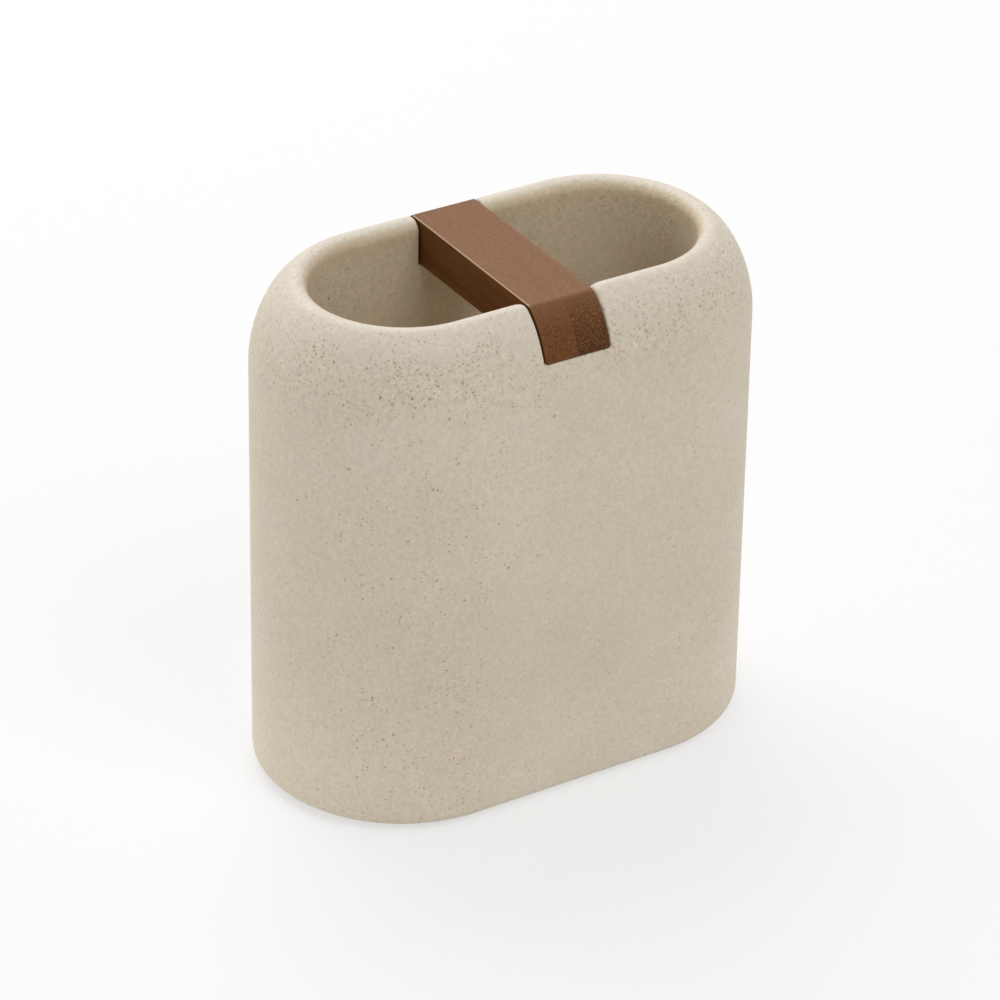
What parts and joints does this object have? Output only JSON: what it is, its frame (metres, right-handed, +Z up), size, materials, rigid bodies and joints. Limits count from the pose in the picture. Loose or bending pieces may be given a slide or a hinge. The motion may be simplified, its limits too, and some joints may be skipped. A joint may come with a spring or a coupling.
{
  "type": "toothbrush holder",
  "caption": "Upright oval cup of cast stone with a thick rounded rim and a wooden divider bar that lifts out of notches across its mouth.",
  "frame": {"origin": "centre of the standing face, under the pads", "axes": "+X along the length of the cup, towards its right end seen from the front; -Y towards the front; +Z up"},
  "size_m": [0.1106, 0.0632, 0.113],
  "materials": {
    "cast_stone": "matt sand-coloured cast stone with fine pits and sparse brown specks",
    "divider_left_wood": "matt oiled brown wood with fine straight grain along the bar",
    "divider_right_wood": "matt oiled brown wood, a little darker, with coarser end grain",
    "pad_rubber": "soft matt grey rubber"
  },
  "bodies": {
    "cup": {"cup_body": "cast_stone", "foot_pad_front_left": "pad_rubber", "foot_pad_front_right": "pad_rubber", "foot_pad_back_left": "pad_rubber", "foot_pad_back_right": "pad_rubber"},
    "divider": {"divider_left_strip": "divider_left_wood", "divider_right_strip": "divider_right_wood"}
  },
  "joints": [
    {"name": "divider_lift", "type": "slide", "parent": "cup", "child": "divider", "axis": [0, 0, 1], "range_m": [0, 0.03]}
  ]
}
